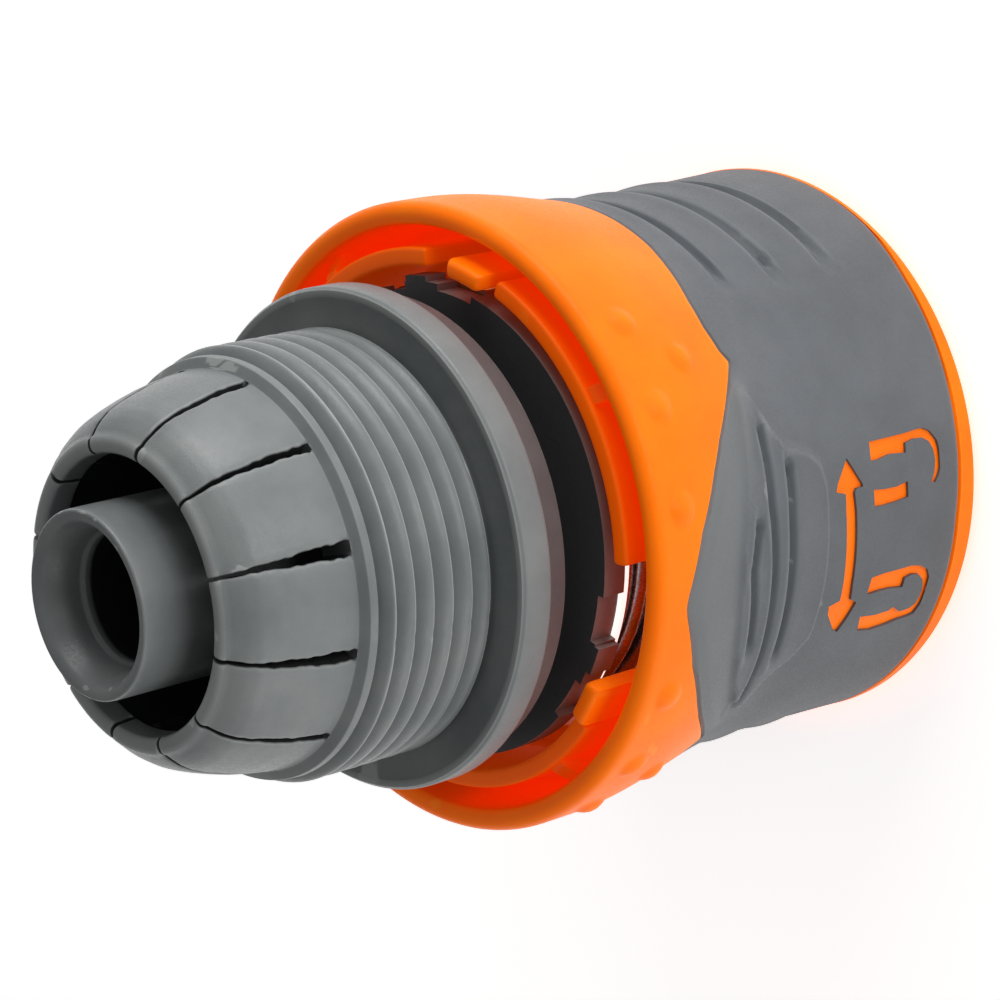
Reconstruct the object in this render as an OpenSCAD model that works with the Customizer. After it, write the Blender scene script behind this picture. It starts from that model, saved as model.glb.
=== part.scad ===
// Quick connector for a half-inch garden hose.
// +Z points to the hose end, and the part stands on its tap end at Z = 0.

/* [Hose end] */
// Diameter of the water way through the spigot
bore_d = 8.7; // [6:0.1:9.5]
// Outer diameter of the spigot that the hose is pushed on
spigot_d = 12.8; // [12:0.1:13.6]
// How far the spigot stands out of the collet
spigot_reach = 3.0; // [1:0.1:5]
// Length of the collet fingers
collet_len = 8.8; // [7:0.1:10]
// Outer diameter of the collet where its fingers begin
collet_base_d = 27.4; // [26:0.1:28]
// Outer diameter of the collet at its tip
collet_tip_d = 20.6; // [20:0.1:22]
// Opening between the finger tips
collet_open_d = 19.0; // [18:0.1:19.4]
// Diameter of the pocket that holds the end of the hose
pocket_d = 21.0; // [20:0.1:22]
// Depth of that pocket below the finger tips
pocket_depth = 16.0; // [12:0.5:18]
// Number of fingers
finger_count = 12; // [8:1:16]
// Width of a slot at the finger tips
slot_tip_w = 0.35; // [0.2:0.05:0.6]
// Width of a slot at its closed end
slot_base_w = 0.95; // [0.6:0.05:1.4]

/* [Nut thread and flange] */
// Diameter over the crests of the nut thread
thread_d = 30; // [29:0.1:31]
// Distance from one crest to the next
thread_pitch = 1.65; // [1.4:0.05:1.8]
// Height of a crest above the thread's root
thread_depth = 0.9; // [0.5:0.05:1.1]
// Number of crests
thread_crests = 6; // [4:1:6]
// How far the flange behind the thread stands out of the step
flange_step = 0.7; // [0.4:0.05:0.8]
// Thickness of that flange
flange_h = 2.1; // [1.5:0.1:3]
// Height of the step behind the flange
step_h = 2.5; // [1:0.1:4]
// Diameter of the neck between the two flanges
neck_d = 29; // [27:0.5:32]
// Height of the neck
neck_h = 3.3; // [2:0.1:4]

/* [Socket] */
// Height of the socket body's top face above the tap end
socket_h = 34.0; // [33:0.5:36]
// Diameter of the socket's mouth
mouth_d = 17.6; // [17:0.1:18]
// Thickness of the socket tube round the mouth
tube_wall = 3.7; // [3.5:0.05:3.9]
// Depth of the mouth
mouth_depth = 14; // [13:0.5:16]
// Diameter of the bore that the nipple's seal runs in
seat_d = 13.0; // [12.6:0.1:13.4]
// How far the stepped rim stands out of the tube
rim_w = 4.5; // [4:0.1:4.8]
// Thickness of the stepped rim
rim_h = 1.9; // [1.5:0.1:2.5]
// How far the rim's catches stand out and its notches go in
rim_step = 0.5; // [0.2:0.1:0.6]
// Number of catches round the rim
rim_catches = 3; // [2:1:4]
// Angle that a catch or a notch covers
rim_catch_span = 12; // [8:1:14]
// Thickness of the socket's wall round the plug of the hose body
plug_wall = 3.1; // [2.8:0.05:3.5]
// Length of that plug
plug_len = 8.5; // [6:0.5:9]

/* [Claws] */
// Number of claws
claw_count = 4; // [4:1:4]
// Width of a claw
claw_w = 4.8; // [4:0.1:5.4]
// Height of a claw
claw_h = 4.6; // [4:0.1:5]
// Height of a claw's lower face above the tap end
claw_z = 5.0; // [4.6:0.1:5.2]
// How far the claws reach into the mouth
claw_reach = 1.6; // [1.5:0.05:1.65]
// Slope of the claws and of the collar's cam, outwards per unit of height
cam_slope = 0.25; // [0.2:0.01:0.3]
// Distance of the cam from the tube at the level of the tap end
cam_w = 2.7; // [2.6:0.05:2.9]

/* [Collar] */
// Width of the gap between the inner strips and the front lip
lip_gap_w = 1.5; // [1:0.1:1.7]
// Height of the lip's front edge above the tap end
lip_z = 34.45; // [34:0.05:35]
// Thickness of the rounded lip
lip_t = 1.7; // [1.4:0.1:1.9]
// Thickness of the collar at its waist, grip included
waist_wall = 3.65; // [3.5:0.05:4]
// Height of the waist
waist_z = 16.3; // [14:0.1:18]
// Height above which the collar has the lip's full diameter
flare_z = 31.5; // [31.3:0.1:32]
// How far the collar's rear rim stands out of the waist
rear_flare = 0.4; // [0.1:0.05:0.8]
// Gap between the collar's rear rim and the surface it stands over
rear_gap = 0.6; // [0.4:0.1:1]
// Height of the orange rear rim
rear_rim_h = 1.6; // [1:0.1:4]
// Clearance between the stepped rim and the collar's sleeve
sleeve_gap = 1.1; // [1.1:0.05:1.3]
// Thickness of the inner strips
strip_t = 1.3; // [1.2:0.1:1.7]
// Height of the strips' front face
strip_z = 34.3; // [33.5:0.1:34.4]
// Depth of the gap between the strips and the lip
lip_gap_depth = 6.8; // [5:0.1:7.5]
// Number of strips
strip_count = 4; // [3:1:4]
// Angle of the gap between two strips
strip_gap = 22.5; // [15:0.5:26]
// Width of the bridge that holds a strip
bridge_w = 1.3; // [0.8:0.1:2]
// Angle that a lock finger covers
finger_span = 10; // [8:0.5:12]
// How far a lock finger stands in front of the strips
finger_reach = 1.0; // [0.5:0.1:1.5]
// Clearance between the tube and the ledge that guides the collar on it
ledge_gap = 0.25; // [0.2:0.05:0.4]
// Height of the ledge's upper face
ledge_z = 16.6; // [16:0.1:18]
// Width of the chamber round the spring
chamber_w = 4.5; // [4.2:0.05:4.6]
// Diameter of the bumps on the collar's flare
bump_d = 2.6; // [2:0.1:2.8]
// Height of the bumps
bump_h = 0.4; // [0.3:0.05:0.5]

/* [Grip] */
// Thickness of the soft grip
grip_t = 1.2; // [0.9:0.05:1.3]
// Height of the grip's front edge
grip_z = 22.5; // [21:0.1:25]
// Height of the tongue's point
tongue_z = 31.1; // [29:0.1:31.2]
// Half of the angle that the tongue covers at its foot
tongue_half = 40.5; // [30:0.5:42]
// Azimuth of the thumb pad on the camera's side
pad_azimuth = -115; // [-180:1:180]
// How far the thumb pad stands out
pad_rise = 0.5; // [0.3:0.05:0.7]
// Number of finger grooves between the pads
groove_count = 3; // [1:1:3]
// Distance between the finger grooves
groove_pitch = 5.2; // [4:0.1:5.5]
// Depth of the finger grooves
groove_depth = 0.4; // [0.2:0.05:0.6]
// Width of the finger grooves
groove_w = 1.8; // [1:0.1:2.4]
// Half of the angle that the finger grooves cover
groove_half = 35; // [20:1:40]

/* [Spring and rings] */
// Diameter of the spring's wire
wire_d = 1.3; // [1:0.1:1.5]
// Distance of the wire's centre from the tube
spring_offset = 2.2; // [1.9:0.05:2.4]
// Number of free turns
spring_turns = 4; // [3:0.5:5]
// Thickness of the ring under the spring
seat_ring_t = 1.4; // [1:0.1:2]
// Thickness of the white ring under the stepped rim
slip_ring_t = 1.1; // [0.8:0.1:1.5]
// Width of the white ring under the stepped rim
slip_ring_w = 3.2; // [2.8:0.1:3.6]
// Thickness of the seal between the two bodies
seal_d = 1.25; // [1:0.05:1.3]
// Thickness of the end ring's flange
end_ring_t = 1.2; // [1:0.1:1.4]
// Height of the end ring's wall over its flange
end_ring_wall_h = 2.0; // [1:0.1:2.4]
// How far the end ring's flange stands out of the tube
end_ring_w = 3.1; // [2.9:0.05:3.2]

/* [Hidden] */
$fn = 96;

// Clearances and small details
fit = 0.05;
slide_gap = 0.1;
recess_clear = 0.3;
cut = 1;
round_r = 0.6;
slit_wall = 1.4;
sleeve_drop = 6.4;
sleeve_taper = 0.6;

// Radii of the socket tube and of what goes round it, from the inside out
tube_r = mouth_d / 2 + tube_wall;
plug_r = tube_r - plug_wall;
claw_tip_r = mouth_d / 2 - claw_reach;
cam_r = tube_r + cam_w;
end_ring_r = tube_r + end_ring_w;
end_ring_wall_r = tube_r + 1.5;
rim_r = tube_r + rim_w;
flange_r = rim_r + flange_step;
ledge_bore_r = tube_r + ledge_gap;
chamber_r = tube_r + chamber_w;
sleeve_r = rim_r + sleeve_gap;
gap_r = sleeve_r + strip_t;
lip_in_r = gap_r + lip_gap_w;
lip_r = lip_in_r + lip_t;
waist_r = chamber_r + waist_wall;
rear_r = waist_r + rear_flare;

// Heights of the hose body, from the socket body upwards
step_z = socket_h + neck_h;
flange_z = step_z + step_h;
thread_z = flange_z + flange_h;
thread_len = thread_crests * thread_pitch;
shoulder_h = 0.55;
collet_z = thread_z + thread_len + shoulder_h;
collet_top = collet_z + collet_len;
spigot_top = collet_top + spigot_reach;
pocket_z = collet_top - pocket_depth;
plug_z = socket_h - plug_len;
slot_z = collet_z + 0.4;

// Heights of the rings round the socket tube
rim_z = socket_h - rim_h;
slip_z = rim_z - slip_ring_t;
seat_ring_z = ledge_z;
spring_z = seat_ring_z + seat_ring_t;
cam_top_z = claw_z + claw_h + 0.2;

// Angles of the collar's features, seen from the hose end
strip_mid = pad_azimuth - 4.25;
lock_fingers = [-140.2, -33, 60.75];
// Angle by which the last gap between the strips is longer than the others
gap_extra = 17;

// Outer radius of the collar at a height: rear taper, waist, then the flare up to the lip
function collar_r(z) =
    z <= waist_z ? rear_r - rear_flare * sin(90 * max(0, z - rear_gap) / (waist_z - rear_gap))
    : z >= flare_z ? lip_r
    : waist_r + (lip_r - waist_r) / 2 * (1 - cos(180 * (z - waist_z) / (flare_z - waist_z)));

// Radius of the cam, or of a claw's outer face when less is taken off
function cam_at(z, less = 0) = cam_r - cam_slope * z - less;

// Points of a quarter round from angle a to angle b
function arc(cx, cy, r, a, b, n = 6) = [for (i = [0:n]) [cx + r * cos(a + (b - a) * i / n),
                                                        cy + r * sin(a + (b - a) * i / n)]];

module ring(r_in, r_out, z_low, z_high)
    rotate_extrude() translate([r_in, z_low]) square([r_out - r_in, z_high - z_low]);

module sector(mid, span, r_in, r_out, z_low, z_high)
    rotate([0, 0, mid - span / 2]) rotate_extrude(angle = span)
        translate([r_in, z_low]) square([r_out - r_in, z_high - z_low]);

// A flat outline, drawn as width and height, pushed out from the axis at an azimuth
module radial(azimuth, r_in, r_out)
    rotate([0, 0, azimuth + 90]) rotate([90, 0, 0])
        translate([0, 0, r_in]) linear_extrude(r_out - r_in) children();

// Water spigot, collet, threaded sleeve, flange, step, neck and plug, all one moulding
module hose_body() {
    spigot_r = spigot_d / 2;
    bore_r = bore_d / 2;
    lip_round = (spigot_r - bore_r) / 2;
    root_r = thread_d / 2 - thread_depth;
    collet_wall_r = collet_open_d / 2;
    color([0.5, 0.52, 0.51]) difference() {
        union() {
            // Spigot with its rounded mouth
            rotate_extrude() polygon(concat(
                [[0, pocket_z], [spigot_r, pocket_z]],
                arc(spigot_r - lip_round, spigot_top - lip_round, lip_round, 0, 90),
                [[0, spigot_top]]));
            difference() {
                collet_and_sleeve(root_r);
                // Pocket for the hose, narrower between the finger tips
                rotate_extrude() polygon([
                    [0, pocket_z], [pocket_d / 2, pocket_z], [pocket_d / 2, slot_z - 1],
                    [collet_wall_r, collet_top - 1.5], [collet_wall_r, collet_top + cut],
                    [0, collet_top + cut]]);
                collet_slots(collet_wall_r);
            }
            // Flange, step, neck and the plug in the socket body
            ring(0, flange_r, flange_z, thread_z);
            ring(0, rim_r, step_z, flange_z);
            ring(0, neck_d / 2, socket_h, step_z);
            ring(0, plug_r, plug_z, socket_h);
        }
        ring(0, bore_r, plug_z - cut, spigot_top + cut);
        // Funnel of the spigot's mouth
        rotate_extrude() polygon([
            [0, spigot_top - 2.9], [bore_r, spigot_top - 2.9],
            [spigot_r - lip_round - 0.35, spigot_top - 0.35],
            [spigot_r - lip_round, spigot_top + cut], [0, spigot_top + cut]]);
        seal_groove();
    }
}

// Barrel-shaped fingers over the threaded sleeve, still solid inside
module collet_and_sleeve(root_r) {
    base_r = collet_base_d / 2;
    tip_r = collet_tip_d / 2;
    steps = 8;
    rotate_extrude() polygon(concat(
        [[0, thread_z], [root_r, thread_z]],
        [for (i = [0:thread_crests - 1]) each thread_crest(root_r, thread_z + i * thread_pitch)],
        [[root_r, collet_z - shoulder_h], [base_r + 0.25, collet_z - 0.25], [base_r, collet_z]],
        [for (i = [1:steps]) barrel(sin(90 * i / steps), base_r, tip_r)],
        [[collet_open_d / 2, collet_top], [0, collet_top]]));
}

// A point of the barrel curve, from 0 at the fingers' base to 1 at their tips
function barrel(s, base_r, tip_r) =
    [base_r - (base_r - tip_r) * (0.2 * s + 0.8 * (1 - sqrt(1 - s * s))), collet_z + (collet_len - 0.5) * s];

// Outline of one rib of the nut thread
function thread_crest(root_r, z) = [
    [root_r, z + thread_pitch * 0.12],
    [thread_d / 2, z + thread_pitch * 0.42], [thread_d / 2, z + thread_pitch * 0.62],
    [root_r, z + thread_pitch * 0.92]];

module collet_slots(wall_r) {
    for (i = [0:finger_count - 1])
        radial(i * 360 / finger_count, wall_r - cut, thread_d / 2 + cut)
            polygon([[-slot_base_w / 2, slot_z], [slot_base_w / 2, slot_z],
                     [slot_tip_w / 2, collet_top + cut], [-slot_tip_w / 2, collet_top + cut]]);
}

// Groove in the plug for the seal
module seal_groove() {
    mid = plug_z + plug_len / 2;
    ring(plug_r - seal_d + fit, plug_r + cut, mid - seal_d * 0.65, mid + seal_d * 0.65);
}

module joint_seal() {
    seal_r = seal_d / 2;
    color([0.1, 0.1, 0.1]) rotate_extrude()
        translate([plug_r - seal_r + fit, plug_z + plug_len / 2]) circle(seal_r - fit, $fn = 48);
}

// Tube with its mouth, seat bore and claw windows, and the stepped rim on top
module socket_body() {
    color([0.2, 0.2, 0.21]) difference() {
        union() {
            ring(0, tube_r, end_ring_t, rim_z);
            stepped_rim();
        }
        ring(0, plug_r + fit, plug_z - fit, socket_h + cut);
        ring(0, seat_d / 2, mouth_depth - cut, plug_z);
        ring(0, mouth_d / 2, 0, mouth_depth);
        // Lead-in from the mouth to the seat bore
        rotate_extrude() polygon([
            [0, mouth_depth - cut], [mouth_d / 2, mouth_depth - cut], [mouth_d / 2, mouth_depth],
            [seat_d / 2, mouth_depth + 1.6], [0, mouth_depth + 1.6]]);
        for (k = [0:claw_count - 1])
            radial(claw_azimuth(k), mouth_d / 2 - cut, tube_r + cut)
                translate([-claw_w / 2 - slide_gap, claw_z - slide_gap])
                    square([claw_w + 2 * slide_gap, claw_h + 2 * slide_gap]);
    }
}

module stepped_rim() {
    difference() {
        ring(0, rim_r, rim_z, socket_h);
        for (i = [0:rim_catches - 1], side = [-1, 1])
            sector(rim_catch_azimuth(i) + side * rim_catch_span, rim_catch_span,
                   rim_r - rim_step, rim_r + cut, rim_z - cut, socket_h + cut);
    }
    for (i = [0:rim_catches - 1])
        sector(rim_catch_azimuth(i) + rim_catch_span * 0.15, rim_catch_span * 0.6,
               rim_r - cut, rim_r + rim_step * 0.8, rim_z, socket_h);
}

function rim_catch_azimuth(i) = pad_azimuth - 20 + i * 360 / rim_catches;
function claw_azimuth(k) = 45 + k * 360 / claw_count;

module slip_washer()
    color([0.95, 0.95, 0.93]) ring(tube_r + recess_clear, tube_r + recess_clear + slip_ring_w, slip_z, rim_z);

module spring_seat()
    color([0.8, 0.8, 0.78]) ring(tube_r + recess_clear, chamber_r - recess_clear, seat_ring_z, spring_z);

// Steel spring: a closed turn at each end and free turns between them
module spring() {
    wire_r = wire_d / 2;
    sides = 8;
    per_turn = 24;
    turns = spring_turns + 2;
    rings = turns * per_turn;
    low = spring_z + wire_r;
    high = slip_z - wire_r;
    free = high - low - 2 * wire_d;
    coil_r = tube_r + spring_offset;
    color([0.75, 0.76, 0.78]) polyhedron(
        points = [for (i = [0:rings], j = [0:sides - 1])
            let (n = i / per_turn, r = coil_r + wire_r * cos(j * 360 / sides))
                [r * cos(360 * n), r * sin(360 * n),
                 low + coil_rise(n, turns, free) + wire_r * sin(j * 360 / sides)]],
        faces = concat(
            [[for (j = [0:sides - 1]) j]],
            [for (i = [0:rings - 1], j = [0:sides - 1])
                [i * sides + j, (i + 1) * sides + j,
                 (i + 1) * sides + (j + 1) % sides, i * sides + (j + 1) % sides]],
            [[for (j = [0:sides - 1]) rings * sides + sides - 1 - j]]));
}

// Height gained by the wire after n turns: one closed turn of wire width at each end
function coil_rise(n, turns, free) =
    n <= 1 ? n * wire_d
    : n >= turns - 1 ? wire_d + free + (n - turns + 1) * wire_d
    : wire_d + free * (n - 1) / (turns - 2);

// A claw: nose that catches the nipple, shoulders outside the tube, sloped back for the cam
module claw(k) {
    shoulder_w = claw_w + 2.2;
    nose = 0.9;
    color([0.85, 0.86, 0.86]) intersection() {
        union() {
            rotate([0, 0, claw_azimuth(k)]) rotate([90, 0, 0])
                translate([0, 0, -claw_w / 2]) linear_extrude(claw_w) polygon([
                    [claw_tip_r, claw_z + nose * 2], [claw_tip_r + nose, claw_z],
                    [tube_r + 3, claw_z], [tube_r + 3, claw_z + claw_h],
                    [claw_tip_r, claw_z + claw_h]]);
            radial(claw_azimuth(k), tube_r + slide_gap, tube_r + 3)
                translate([-shoulder_w / 2, claw_z]) square([shoulder_w, claw_h]);
        }
        rotate_extrude() polygon([
            [0, claw_z], [cam_at(claw_z, slide_gap), claw_z],
            [cam_at(claw_z + claw_h, slide_gap), claw_z + claw_h], [0, claw_z + claw_h]]);
    }
}
module claw_1() claw(0);
module claw_2() claw(1);
module claw_3() claw(2);
module claw_4() claw(3);

// Ring snapped round the foot of the socket tube
module end_ring() {
    color([0.3, 0.31, 0.32]) rotate_extrude() polygon([
        [mouth_d / 2 + 0.8, 0], [end_ring_r - round_r, 0], [end_ring_r, round_r],
        [end_ring_r, end_ring_t], [end_ring_wall_r, end_ring_t],
        [end_ring_wall_r, end_ring_t + end_ring_wall_h - 0.4],
        [end_ring_wall_r - 0.4, end_ring_t + end_ring_wall_h],
        [tube_r + fit, end_ring_t + end_ring_wall_h], [tube_r + fit, end_ring_t],
        [mouth_d / 2, end_ring_t], [mouth_d / 2, 0.8]]);
}

// Outside of the whole collar, grip included, or of its core when less is taken off
module collar_form(less = 0, z_low = rear_gap, z_high = lip_z) {
    lip_round = lip_t / 2;
    rear_round = 0.6;
    steps = 14;
    flare = [for (i = [0:steps]) let (z = waist_z + (flare_z - waist_z) * i / steps)
                [collar_r(z) - less, z]];
    rear = [for (i = [0:3]) let (z = rear_gap + rear_round + (waist_z - rear_gap - rear_round) * i / 4)
                [collar_r(z) - less, z]];
    rotate_extrude() polygon(concat(
        [[0, z_low]],
        arc(collar_r(z_low + rear_round) - less - rear_round, z_low + rear_round, rear_round, -90, -15, 4),
        rear, flare,
        arc(lip_r - less - lip_round, z_high - lip_round, lip_round, 0, 180),
        [[0, z_high - lip_round]]));
}

// Space that the grip takes: a band round the waist and a tongue before each thumb pad
module grip_zone() {
    foot_w = lip_r * sin(tongue_half);
    tongue_h = tongue_z - grip_z;
    // Share of the foot's width and of the tongue's height
    shoulder = [[1.03, -0.05], [0.84, 0.26], [0.58, 0.63], [0.33, 0.87], [0.08, 0.985]];
    ring(0, 2 * lip_r, rear_gap + rear_rim_h, grip_z);
    for (side = [0, 180])
        radial(pad_azimuth + side, waist_r - 6, 2 * lip_r)
            polygon(concat(
                [for (p = shoulder) [foot_w * p[0], grip_z + tongue_h * p[1]]],
                [[0, tongue_z]],
                [for (i = [len(shoulder) - 1:-1:0])
                    [-foot_w * shoulder[i][0], grip_z + tongue_h * shoulder[i][1]]]));
}

// Everything that is hollow inside the collar
module collar_hollow() {
    gap_z = lip_z - lip_gap_depth;
    rotate_extrude() polygon([
        [0, rear_gap - cut], [end_ring_r + recess_clear, rear_gap - cut],
        [end_ring_r + recess_clear, end_ring_t + recess_clear],
        [cam_at(end_ring_t + recess_clear), end_ring_t + recess_clear],
        [cam_at(cam_top_z), cam_top_z], [ledge_bore_r, cam_top_z],
        [ledge_bore_r, ledge_z], [chamber_r, ledge_z],
        [chamber_r, rim_z - sleeve_drop - sleeve_taper], [sleeve_r, rim_z - sleeve_drop],
        [sleeve_r, lip_z + cut], [0, lip_z + cut]]);
    // Gap between the strips and the lip, and the open front of the lip
    rotate_extrude() polygon([
        [gap_r, gap_z], [lip_in_r - 0.7, gap_z], [lip_in_r, lip_z - lip_t / 2],
        [lip_in_r, lip_z + cut], [gap_r, lip_z + cut]]);
    ring(sleeve_r - cut, gap_r + fit, strip_z, lip_z + cut);
    for (i = [0:strip_count - 1])
        let (extra = i == strip_count - 1 ? gap_extra : 0)
            sector(strip_azimuth(i + 0.5) - extra / 2, strip_gap + extra,
                   sleeve_r - cut, gap_r + fit, gap_z, lip_z + cut);
    // Slit round the cam ring, open to the tap end
    difference() {
        ring(end_ring_r + slit_wall, waist_r - grip_t - slit_wall + 0.3, rear_gap - cut, ledge_z - 3);
        for (i = [0:7])
            rotate([0, 0, i * 45]) translate([0, -0.6, 0]) cube([2 * waist_r, 1.2, ledge_z]);
    }
}

function strip_azimuth(i) = strip_mid + 45 + i * 360 / strip_count;

// A lock finger: rounded tab on the collar's inner wall
module lock_finger(azimuth) {
    tip_r = 0.45;
    low = lip_z - lip_gap_depth - cut;
    high = strip_z + finger_reach;
    root_z = strip_z - 3.5;
    root_t = lip_in_r - sleeve_r + 0.3;
    rotate([0, 0, azimuth - finger_span / 2]) rotate_extrude(angle = finger_span)
        translate([sleeve_r, 0]) polygon(concat(
            [[0.02, low], [root_t, low], [root_t, root_z], [strip_t - 0.02, root_z]],
            arc(strip_t - 0.02 - tip_r, high - tip_r, tip_r, 0, 90),
            arc(0.02 + tip_r, high - tip_r, tip_r, 90, 180)));
}

module collar_shell() {
    bridge_z = lip_z - lip_gap_depth - cut;
    color([1, 0.5, 0.02]) difference() {
        union() {
            difference() {
                collar_form();
                collar_hollow();
            }
            for (i = [0:strip_count - 1])
                radial(strip_azimuth(i), gap_r - 0.2, lip_in_r + 0.3)
                    translate([-bridge_w / 2, bridge_z]) square([bridge_w, strip_z - bridge_z - 0.3]);
            for (a = lock_fingers) lock_finger(a);
            bumps();
        }
        difference() {
            grip_zone();
            collar_form(grip_t);
        }
    }
}

// Low round bumps beside each thumb pad: angle from the pad's middle and distance behind the lip
module bumps() {
    places = [[17.2, 2.65], [34.9, 2.85], [42.5, 6.85], [51, 3.25]];
    for (side = [0, 180], p = places, m = [-1, 1])
        let (z = lip_z - p[1])
            rotate([0, 0, pad_azimuth + side + m * p[0]])
                translate([collar_r(z), 0, z]) rotate([0, 90, 0]) rotate_extrude() polygon([
                    [0, -0.7], [bump_d / 2 + 0.05, -0.7], [bump_d / 2 - 0.15, bump_h * 0.5],
                    [bump_d / 4, bump_h * 0.9], [0, bump_h]]);
}

module collar_grip() {
    // Outline of a thumb pad: distance from its middle, and height over the grip's front edge
    pad = [[-11.7, -1.3], [-9.4, -2.9], [-6.6, -6.6], [5.2, -6.6], [8.7, -2.8], [12.2, -0.3],
           [13.1, 0.9], [7.7, 2.7], [-0.7, 4.1], [-7.4, 2.4], [-10.1, 0.5]];
    color([0.42, 0.43, 0.44]) difference() {
        union() {
            difference() {
                intersection() {
                    collar_form();
                    grip_zone();
                }
                collar_form(grip_t);
            }
            // Leaf-shaped thumb pads
            for (side = [0, 180])
                difference() {
                    intersection() {
                        collar_form(-pad_rise);
                        radial(pad_azimuth + side, waist_r - 6, 2 * lip_r)
                            polygon([for (p = pad) [p[0], grip_z + p[1]]]);
                    }
                    collar_form(grip_t / 2);
                }
        }
        pad_grooves();
        finger_grooves();
    }
}

// Three grooves across each thumb pad, the middle one the longest
module pad_grooves() {
    // Height over the grip's front edge and half of the angle that a groove covers
    places = [[2.25, 11], [-0.2, 27], [-2.8, 19]];
    groove_r = 0.55;
    for (side = [0, 180], p = places)
        rotate([0, 0, pad_azimuth + side - p[1]]) rotate_extrude(angle = 2 * p[1])
            translate([collar_r(grip_z + p[0]) + pad_rise, grip_z + p[0]]) circle(groove_r, $fn = 24);
}

// Shallow grooves for the fingers, midway between the thumb pads
module finger_grooves() {
    circle_r = (groove_w * groove_w / 4 + groove_depth * groove_depth) / (2 * groove_depth);
    for (side = [90, 270], i = [0:groove_count - 1])
        let (z = waist_z - 3.4 - (i - 1) * groove_pitch)
            rotate([0, 0, pad_azimuth + side - groove_half]) rotate_extrude(angle = 2 * groove_half)
                translate([collar_r(z) - groove_depth + circle_r, z]) circle(circle_r, $fn = 48);
}

hose_body();
socket_body();
joint_seal();
slip_washer();
spring();
spring_seat();
claw_1();
claw_2();
claw_3();
claw_4();
end_ring();
collar_shell();
collar_grip();
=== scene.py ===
import math

import bpy
import numpy as np
from mathutils import Matrix, Vector, geometry


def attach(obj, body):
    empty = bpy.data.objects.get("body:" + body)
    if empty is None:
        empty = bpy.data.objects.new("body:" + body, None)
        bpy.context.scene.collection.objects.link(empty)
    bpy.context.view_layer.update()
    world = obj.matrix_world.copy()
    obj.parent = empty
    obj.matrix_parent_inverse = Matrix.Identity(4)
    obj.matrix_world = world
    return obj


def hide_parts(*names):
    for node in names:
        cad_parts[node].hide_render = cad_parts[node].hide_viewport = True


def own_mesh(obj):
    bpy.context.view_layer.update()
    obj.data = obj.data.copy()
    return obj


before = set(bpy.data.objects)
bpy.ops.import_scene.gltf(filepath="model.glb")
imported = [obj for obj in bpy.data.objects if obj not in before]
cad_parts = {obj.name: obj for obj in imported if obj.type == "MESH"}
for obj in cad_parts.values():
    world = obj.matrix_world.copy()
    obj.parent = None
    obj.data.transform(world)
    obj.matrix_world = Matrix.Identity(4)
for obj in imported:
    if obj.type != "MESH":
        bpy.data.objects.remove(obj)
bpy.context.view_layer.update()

MM = 0.001
TURN = 2 * math.pi
RNG = np.random.default_rng(11)


# Small helpers for shapes, all in millimetres until the mesh is made

def theta_of(phi):
    """World azimuth in radians of an angle phi in degrees, counted from the camera's side downwards."""
    return math.radians(-90 - phi)


def smooth(a, b, x):
    """0 before a, 1 after b, with a soft change between them."""
    t = np.clip((np.asarray(x, float) - a) / (b - a), 0, 1)
    return t * t * (3 - 2 * t)


def rounded(corners, steps=4, closed=False):
    """Outline with rounded corners. A corner is (r, z) or (r, z, radius)."""
    pts = [np.array(c[:2], float) for c in corners]
    radii = [c[2] if len(c) > 2 else 0 for c in corners]
    out = []
    for i, (p, radius) in enumerate(zip(pts, radii)):
        if radius <= 0 or (not closed and i in (0, len(pts) - 1)):
            out.append(p)
            continue
        before, after = pts[i - 1] - p, pts[(i + 1) % len(pts)] - p
        reach = min(radius, 0.49 * np.linalg.norm(before), 0.49 * np.linalg.norm(after))
        a = p + before / np.linalg.norm(before) * reach
        b = p + after / np.linalg.norm(after) * reach
        out += [(1 - s) ** 2 * a + 2 * s * (1 - s) * p + s * s * b for s in np.linspace(0, 1, steps + 1)]
    return np.array(out)


def filled(outline, step):
    """The outline with points added so that none of its edges is longer than step."""
    out = [outline[0]]
    for a, b in zip(outline[:-1], outline[1:]):
        n = max(1, int(math.ceil(np.linalg.norm(b - a) / step)))
        out += [a + (b - a) * k / n for k in range(1, n + 1)]
    return np.array(out)


def polar(r, theta, z):
    """Points of arrays r, theta and z."""
    r, theta, z = np.broadcast_arrays(r, theta, z)
    return np.stack([r * np.cos(theta), r * np.sin(theta), z], -1)


def grid_faces(rows, cols, wrap_rows=True, skip=None):
    """Quads of a grid of points that closes on itself, without those marked in skip."""
    n_i = rows if wrap_rows else rows - 1
    i, j = np.meshgrid(np.arange(n_i), np.arange(cols), indexing="ij")
    if skip is not None:
        keep = ~skip[:n_i]
        i, j = i[keep], j[keep]
    i2, j2 = (i + 1) % rows, (j + 1) % cols
    quads = np.stack([i * cols + j, i * cols + j2, i2 * cols + j2, i2 * cols + j], -1)
    return quads.reshape(-1, 4).tolist()


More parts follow.
